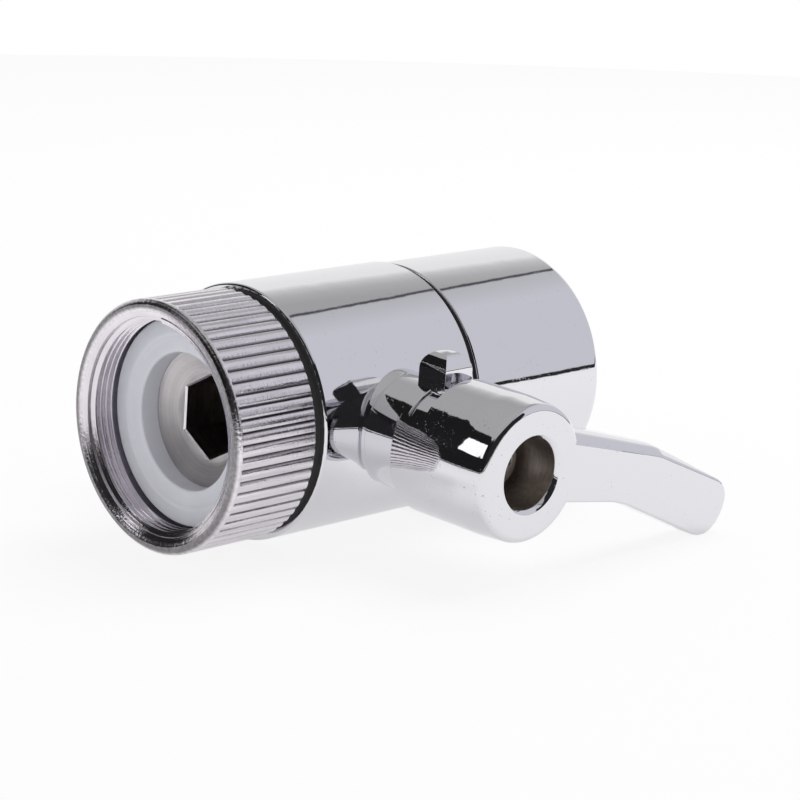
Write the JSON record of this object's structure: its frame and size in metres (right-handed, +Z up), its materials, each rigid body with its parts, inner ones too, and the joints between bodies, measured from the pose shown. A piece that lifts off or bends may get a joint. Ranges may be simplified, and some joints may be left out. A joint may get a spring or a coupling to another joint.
{
  "type": "faucet diverter valve",
  "caption": "Chromed tap diverter with a knurled swivel inlet nut, a side lever that turns a ported plug, a side outlet and an aerator in the straight outlet.",
  "frame": {"origin": "on the water axis, in the middle of the inlet thread", "axes": "+X along the water's way from the inlet to the aerator, -Y from the crossing towards the lever, +Z up"},
  "size_m": [0.0576, 0.0587, 0.0288],
  "materials": {
    "polished_chrome": "polished",
    "nut_chrome": "satin",
    "stud_metal": "satin",
    "white_washer": "soft and slightly translucent",
    "black_rubber": "matt",
    "brass": "machined",
    "slide_plastic": "matt",
    "grey_plastic": "matt",
    "spring_steel": "bright"
  },
  "bodies": {
    "valve": {"valve_body": "polished_chrome", "outlet_sleeve": "polished_chrome", "inlet_stud": "stud_metal", "inlet_washer": "white_washer", "swivel_ring": "black_rubber", "stud_gasket": "black_rubber", "outlet_o_ring": "black_rubber", "outlet_seat": "black_rubber", "aerator_gasket": "black_rubber", "rotor_washer": "slide_plastic", "retaining_ring": "spring_steel", "aerator_housing": "slide_plastic", "aerator_diffuser": "slide_plastic", "aerator_dome_screen": "spring_steel", "aerator_outlet_screen": "grey_plastic"},
    "nut": {"inlet_swivel_nut": "nut_chrome"},
    "lever": {"lever_handle": "polished_chrome", "lever_screw": "spring_steel", "lock_washer": "spring_steel", "rotor_plug": "brass", "rotor_o_ring_front": "black_rubber", "rotor_o_ring_middle": "black_rubber", "rotor_o_ring_rear": "black_rubber"}
  },
  "joints": [
    {"name": "lever_turn", "type": "hinge", "parent": "valve", "child": "lever", "pos_m": [0.02102, 0, 0], "axis": [0, 1, 0], "range_deg": [-52, 38]},
    {"name": "nut_spin", "type": "hinge", "parent": "valve", "child": "nut", "pos_m": [0, 0, 0], "axis": [1, 0, 0], "continuous": true}
  ]
}
